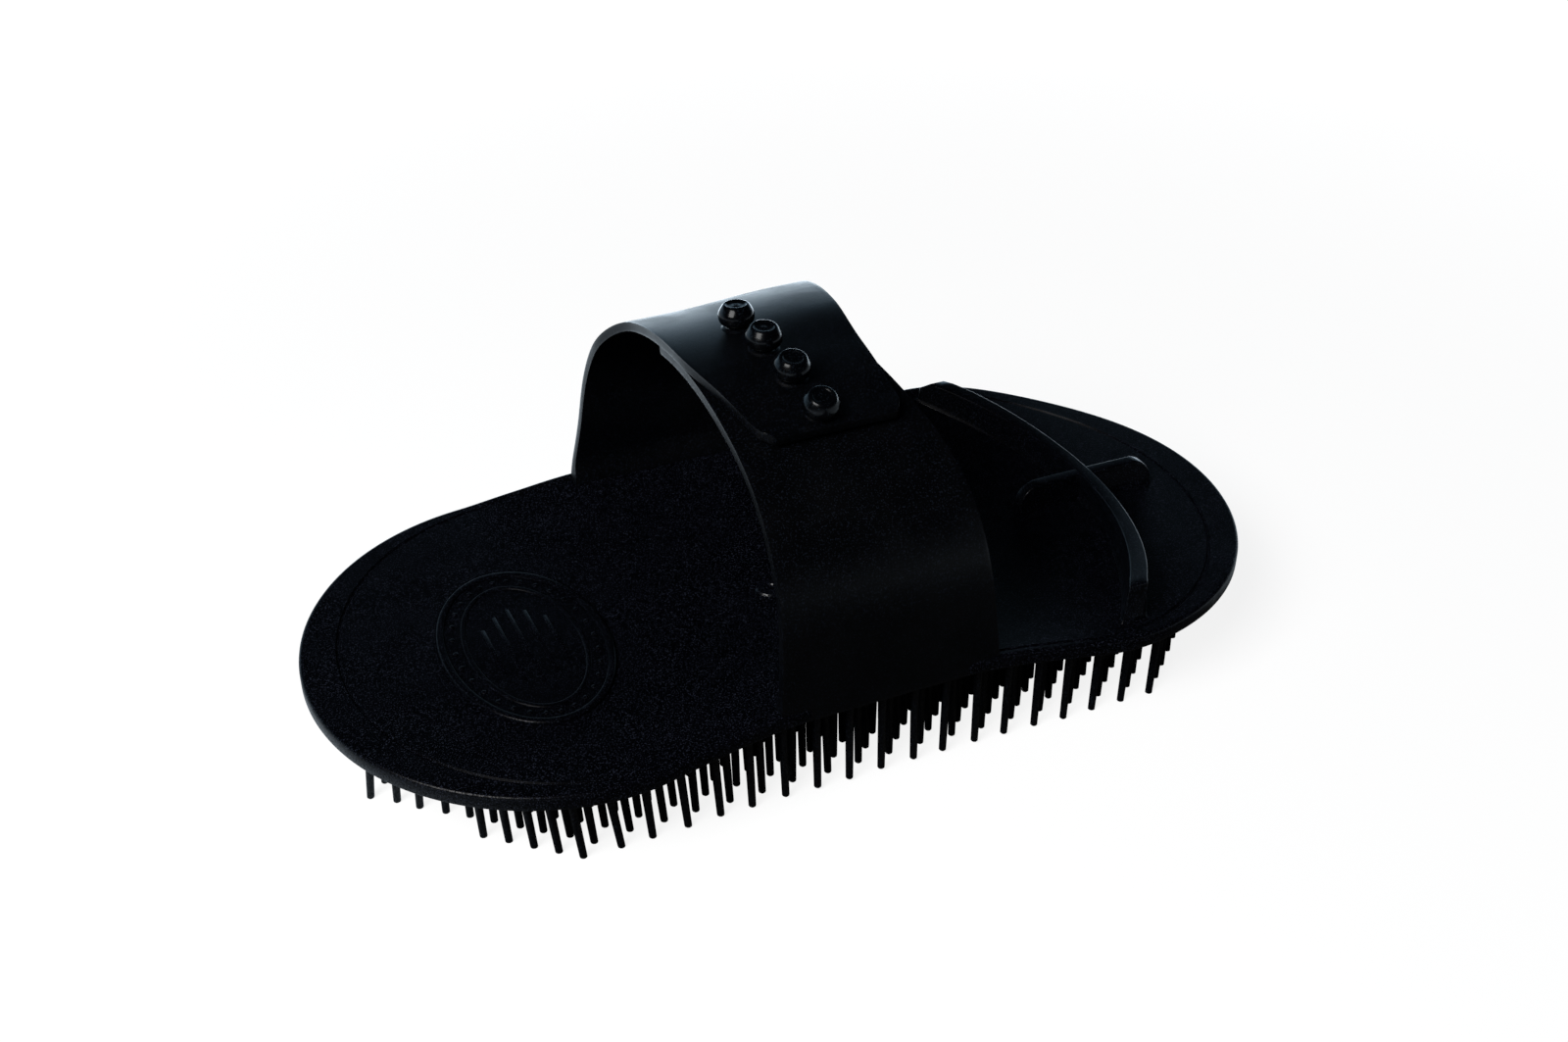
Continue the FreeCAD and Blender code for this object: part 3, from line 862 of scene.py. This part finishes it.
GRAIN_DEPTH = 0.05 * MM
# The edges' painted highlight: how many times paler than the clouded colour they are painted.
PAINTED_GLINT_PALER = 3.2
RUBBED_SMOOTHER = 0.35
RUBBED_COAT_ROUGHNESS = 0.26


def add(tree, kind, **values):
    made = tree.nodes.new(kind)
    for name, value in values.items():
        setattr(made, name, value)
    return made


def math_node(tree, operation, *values):
    """A Math node, each value a number or another node's output."""
    made = add(tree, "ShaderNodeMath", operation=operation)
    for socket, value in zip(made.inputs, values):
        if isinstance(value, (int, float)):
            socket.default_value = value
        else:
            tree.links.new(value, socket)
    return made.outputs[0]


def noise_node(tree, place, scale, detail=3.0, roughness=0.55):
    made = add(tree, "ShaderNodeTexNoise")
    tree.links.new(place, made.inputs["Vector"])
    if isinstance(scale, (int, float)):
        made.inputs["Scale"].default_value = scale
    else:
        tree.links.new(scale, made.inputs["Scale"])
    made.inputs["Detail"].default_value = detail
    made.inputs["Roughness"].default_value = roughness
    return made.outputs["Fac"]


def ramp_node(tree, factor, low, high):
    """Mask that runs from 0 at low to 1 at high."""
    made = add(tree, "ShaderNodeMapRange", interpolation_type="SMOOTHSTEP")
    tree.links.new(factor, made.inputs["Value"])
    made.inputs["From Min"].default_value = low
    made.inputs["From Max"].default_value = high
    return made.outputs["Result"]


def group_shell(name, inputs, outputs):
    group = bpy.data.node_groups.new(name, "ShaderNodeTree")
    for label, kind, value in inputs:
        socket = group.interface.new_socket(name=label, in_out="INPUT", socket_type=kind)
        if value is not None:
            socket.default_value = value
    for label, kind in outputs:
        group.interface.new_socket(name=label, in_out="OUTPUT", socket_type=kind)
    return group, add(group, "NodeGroupInput"), add(group, "NodeGroupOutput")


def moulded_grain():
    """Fine grain of moulded rubber: a height, pale flecks painted as sparkle off the grain, and slow clouds
    of shade.
    """
    group, given, result = group_shell(
        "moulded grain",
        [("Place", "NodeSocketVector", None), ("Grain", "NodeSocketFloat", 2600.0)],
        [("Height", "NodeSocketFloat"), ("Painted sparkle", "NodeSocketFloat"), ("Clouds", "NodeSocketFloat")],
    )
    place = given.outputs["Place"]
    grain = given.outputs["Grain"]
    fine = noise_node(group, place, grain, 2.0, 0.6)
    coarse = noise_node(group, place, math_node(group, "MULTIPLY", grain, 0.31), 3.0)
    fine = math_node(group, "MULTIPLY", fine, 0.55)
    height = math_node(group, "ADD", fine, math_node(group, "MULTIPLY", coarse, 0.45))
    group.links.new(height, result.inputs["Height"])
    # Painted sparkle: pale flecks where the grain would glint.
    painted_sparkle = noise_node(group, place, math_node(group, "MULTIPLY", grain, 0.9), 1.0, 0.6)
    group.links.new(ramp_node(group, painted_sparkle, 0.58, 0.67), result.inputs["Painted sparkle"])
    clouds = noise_node(group, place, math_node(group, "MULTIPLY", grain, 0.028), 3.0)
    group.links.new(ramp_node(group, clouds, 0.35, 0.68), result.inputs["Clouds"])
    return group


def edge_gloss_and_painted_glint():
    """Painted highlight on sharp edges, found by pointiness in patches: these edges are painted paler, and
    the same mask makes them smoother and coated.
    """
    group, given, result = group_shell(
        "edge gloss and painted glint",
        [("Place", "NodeSocketVector", None), ("Reach", "NodeSocketFloat", 0.5)],
        [("Gloss and glint", "NodeSocketFloat")],
    )
    corner = ramp_node(group, add(group, "ShaderNodeNewGeometry").outputs["Pointiness"], 0.515, 0.56)
    patchy = ramp_node(group, noise_node(group, given.outputs["Place"], 2600.0, 2.0, 0.6), 0.36, 0.60)
    gloss_and_glint = math_node(group, "MULTIPLY", math_node(group, "MULTIPLY", corner, patchy), given.outputs["Reach"])
    group.links.new(gloss_and_glint, result.inputs["Gloss and glint"])
    return group


def mix_colour(tree, factor, first, second):
    made = add(tree, "ShaderNodeMix", data_type="RGBA")
    tree.links.new(factor, made.inputs["Factor"])
    for index, value in ((6, first), (7, second)):
        if isinstance(value, tuple):
            made.inputs[index].default_value = (*value, 1)
        else:
            tree.links.new(value, made.inputs[index])
    return made.outputs[2]


def rubber(name, groups, colour, cloud_colour, painted_sparkle_colour, roughness, sheen, grain, bump, gloss_and_glint):
    """Black rubber: grained, with pale flecks painted as sparkle, clouded, and with a painted highlight on
    its edges, which are also smoother and coated.
    """
    material = bpy.data.materials.new(name)
    material.use_nodes = True
    tree = material.node_tree
    shader = tree.nodes["Principled BSDF"]
    place = add(tree, "ShaderNodeTexCoord").outputs["Object"]
    surface = add(tree, "ShaderNodeGroup", node_tree=groups["grain"])
    tree.links.new(place, surface.inputs["Place"])
    surface.inputs["Grain"].default_value = grain
    edges = add(tree, "ShaderNodeGroup", node_tree=groups["gloss_and_glint"])
    tree.links.new(place, edges.inputs["Place"])
    edges.inputs["Reach"].default_value = gloss_and_glint
    base = mix_colour(tree, surface.outputs["Clouds"], colour, cloud_colour)
    # Pale flecks are painted sparkle, standing in for glints off the grain.
    base = mix_colour(tree, surface.outputs["Painted sparkle"], base, painted_sparkle_colour)
    # Paler colour on the sharp edges is a painted highlight.
    painted_glint_colour = tuple(PAINTED_GLINT_PALER * channel for channel in cloud_colour)
    base = mix_colour(tree, edges.outputs["Gloss and glint"], base, painted_glint_colour)
    tree.links.new(base, shader.inputs["Base Color"])
    low, high = roughness
    spread = math_node(tree, "MULTIPLY", surface.outputs["Clouds"], high - low)
    rough = math_node(tree, "ADD", spread, low)
    smoother = math_node(tree, "MULTIPLY", edges.outputs["Gloss and glint"], RUBBED_SMOOTHER)
    rough = math_node(tree, "SUBTRACT", rough, smoother)
    tree.links.new(rough, shader.inputs["Roughness"])
    bumps = add(tree, "ShaderNodeBump")
    bumps.inputs["Strength"].default_value = bump
    bumps.inputs["Distance"].default_value = GRAIN_DEPTH
    tree.links.new(surface.outputs["Height"], bumps.inputs["Height"])
    tree.links.new(bumps.outputs["Normal"], shader.inputs["Normal"])
    shader.inputs["Specular IOR Level"].default_value = sheen
    tree.links.new(edges.outputs["Gloss and glint"], shader.inputs["Coat Weight"])
    shader.inputs["Coat Roughness"].default_value = RUBBED_COAT_ROUGHNESS
    return material


def plate_rubber(groups):
    return rubber(
        "plate rubber", groups, colour=(0.0004, 0.0005, 0.0009), cloud_colour=(0.0007, 0.0008, 0.0015),
        painted_sparkle_colour=(0.017, 0.020, 0.031), roughness=(0.30, 0.36), sheen=0.035,
        grain=4200.0, bump=1.0, gloss_and_glint=0.7,
    )


def pad_rubber(groups):
    return rubber(
        "pad rubber", groups, colour=(0.0004, 0.0005, 0.0009), cloud_colour=(0.0006, 0.0007, 0.0013),
        painted_sparkle_colour=(0.011, 0.013, 0.020), roughness=(0.30, 0.36), sheen=0.035,
        grain=4200.0, bump=0.8, gloss_and_glint=0.2,
    )


def grip_rubber(groups):
    return rubber(
        "grip rubber", groups, colour=(0.0004, 0.0005, 0.0009), cloud_colour=(0.0006, 0.0007, 0.0013),
        painted_sparkle_colour=(0.013, 0.016, 0.024), roughness=(0.30, 0.36), sheen=0.05,
        grain=4200.0, bump=0.6, gloss_and_glint=0.6,
    )


def strap_rubber(groups):
    return rubber(
        "strap rubber", groups, colour=(0.0003, 0.0004, 0.0007), cloud_colour=(0.0005, 0.0006, 0.0010),
        painted_sparkle_colour=(0.006, 0.008, 0.013), roughness=(0.36, 0.44), sheen=0.14,
        grain=3800.0, bump=0.6, gloss_and_glint=0.25,
    )


def button_rubber(groups):
    return rubber(
        "button rubber", groups, colour=(0.0005, 0.0007, 0.0011), cloud_colour=(0.0008, 0.0010, 0.0016),
        painted_sparkle_colour=(0.005, 0.007, 0.010), roughness=(0.16, 0.22), sheen=0.15,
        grain=2800.0, bump=0.2, gloss_and_glint=0.15,
    )


def pin_rubber(groups):
    return rubber(
        "pin rubber", groups, colour=(0.0006, 0.0008, 0.0014), cloud_colour=(0.0009, 0.0012, 0.0020),
        painted_sparkle_colour=(0.006, 0.008, 0.012), roughness=(0.36, 0.44), sheen=0.08,
        grain=2400.0, bump=0.3, gloss_and_glint=0.3,
    )


def finish_with(piece, material):
    piece.data.materials.clear()
    piece.data.materials.append(material)


# ---- studio ----

FLOOR_SHADE = 0.20
FLOOR_MIRRORED_SHADE = 0.06
FLOOR_LIFT = 0.87
GLOW_BEHIND = 4.5
GLOW_LEFT = 1.0
GLOW_RIGHT = 0.9
GLOW_TINT = (0.76, 0.89, 1.0)
ROOM_DARK = (0.005, 0.006, 0.010)
ROOM_BAND = (0.66, 1.00, 1.30)
WHITE = (1.0, 1.0, 1.0)
CAMERA_LENS = 43.118
CAMERA_PLACE = (-0.1263, -0.2721, 0.2311)
CAMERA_TURN = 24.622
CAMERA_TIP = 33.590
CAMERA_ROLL = 0.389


def floor_glow(tree):
    """Strength of the floor's own glow as the rubber mirrors it: bright behind, softer at both ends."""
    place = add(tree, "ShaderNodeSeparateXYZ")
    tree.links.new(add(tree, "ShaderNodeTexCoord").outputs["Object"], place.inputs["Vector"])
    behind = math_node(tree, "MULTIPLY", ramp_node(tree, place.outputs["Y"], 0.08, 0.115), GLOW_BEHIND)
    behind = math_node(tree, "MULTIPLY", behind, ramp_node(tree, place.outputs["X"], -0.14, 0.03))
    left = math_node(tree, "MULTIPLY", ramp_node(tree, place.outputs["X"], -0.06, -0.12), GLOW_LEFT)
    right = math_node(tree, "MULTIPLY", ramp_node(tree, place.outputs["X"], 0.09, 0.13), GLOW_RIGHT)
    return math_node(tree, "MAXIMUM", behind, math_node(tree, "MAXIMUM", left, right))


def floor():
    """Plain pale floor: white to the camera outside the shadow, darker where the rubber mirrors it."""
    bpy.ops.mesh.primitive_plane_add(size=6, location=(0, 0, 0))
    ground = settle(bpy.context.object)
    ground.name = "studio_floor"
    material = bpy.data.materials.new("studio floor")
    material.use_nodes = True
    tree = material.node_tree
    shader = tree.nodes["Principled BSDF"]
    shader.inputs["Roughness"].default_value = 0.9
    shader.inputs["Specular IOR Level"].default_value = 0.0
    path = add(tree, "ShaderNodeLightPath")
    mirror = path.outputs["Is Glossy Ray"]
    shade = mix_colour(tree, mirror, (FLOOR_SHADE,) * 3, (FLOOR_MIRRORED_SHADE,) * 3)
    tree.links.new(shade, shader.inputs["Base Color"])
    tint = mix_colour(tree, mirror, WHITE, GLOW_TINT)
    tree.links.new(tint, shader.inputs["Emission Color"])
    away = add(tree, "ShaderNodeVectorMath", operation="LENGTH")
    tree.links.new(add(tree, "ShaderNodeTexCoord").outputs["Object"], away.inputs[0])
    lift = math_node(tree, "MULTIPLY", ramp_node(tree, away.outputs["Value"], 0.15, 0.6), 1.0 - FLOOR_LIFT)
    lift = math_node(tree, "ADD", lift, FLOOR_LIFT)
    seen = math_node(tree, "MULTIPLY", path.outputs["Is Camera Ray"], lift)
    mirrored = math_node(tree, "MULTIPLY", mirror, floor_glow(tree))
    tree.links.new(math_node(tree, "ADD", seen, mirrored), shader.inputs["Emission Strength"])
    finish_with(ground, material)


def world_light():
    """White all round to the camera; to the object a pale bluish band low behind, dark elsewhere."""
    world = bpy.data.worlds.new("studio")
    bpy.context.scene.world = world
    world.use_nodes = True
    tree = world.node_tree
    background = tree.nodes["Background"]
    direction = add(tree, "ShaderNodeSeparateXYZ")
    tree.links.new(add(tree, "ShaderNodeTexCoord").outputs["Generated"], direction.inputs["Vector"])
    low = math_node(tree, "SUBTRACT", 1.0, ramp_node(tree, direction.outputs["Z"], 0.08, 0.42))
    behind = ramp_node(tree, direction.outputs["Y"], 0.0, 0.7)
    band = math_node(tree, "MULTIPLY", low, behind)
    colour = mix_colour(tree, band, ROOM_DARK, ROOM_BAND)
    path = add(tree, "ShaderNodeLightPath")
    seen = math_node(tree, "MAXIMUM", path.outputs["Is Camera Ray"], path.outputs["Is Transmission Ray"])
    colour = mix_colour(tree, seen, colour, WHITE)
    tree.links.new(colour, background.inputs["Color"])


def soft_lamp(name, place, aim, size, power):
    data = bpy.data.lights.new(name, "AREA")
    data.shape = "RECTANGLE"
    data.size, data.size_y = size
    data.energy = power
    lamp = bpy.data.objects.new(name, data)
    bpy.context.scene.collection.objects.link(lamp)
    lamp.location = place
    lamp.rotation_euler = (Vector(aim) - Vector(place)).to_track_quat("-Z", "Y").to_euler()


def lamps():
    soft_lamp("left above", place=(-0.80, -0.42, 0.80), aim=(0, 0, 0.02), size=(0.6, 0.6), power=15.0)


def camera():
    """Camera above the near left, turned and tipped to look down over the comb."""
    data = bpy.data.cameras.new("camera")
    data.lens = CAMERA_LENS
    data.sensor_width = 36
    view = bpy.data.objects.new("camera", data)
    bpy.context.scene.collection.objects.link(view)
    turn, tip, roll = (math.radians(angle) for angle in (CAMERA_TURN, CAMERA_TIP, CAMERA_ROLL))
    facing = Matrix.Rotation(-turn, 4, "Z") @ Matrix.Rotation(math.pi / 2 - tip, 4, "X")
    rolled = facing @ Matrix.Rotation(roll, 4, "Z")
    view.matrix_world = Matrix.Translation(CAMERA_PLACE) @ rolled
    bpy.context.scene.camera = view


def main():
    camera()
    floor()
    world_light()
    lamps()
    bpy.context.scene.view_settings.view_transform = "Standard"
    groups = {"grain": moulded_grain(), "gloss_and_glint": edge_gloss_and_painted_glint()}
    finish_with(plate(), plate_rubber(groups))
    finish_with(pad(), pad_rubber(groups))
    finish_with(finger_grip(), grip_rubber(groups))
    pins = pin_rubber(groups)
    for row in pin_rows():
        finish_with(row, pins)
    straps = strap_rubber(groups)
    finish_with(far_wing(), straps)
    finish_with(near_wing(), straps)
    finish_with(buttons(), button_rubber(groups))


main()
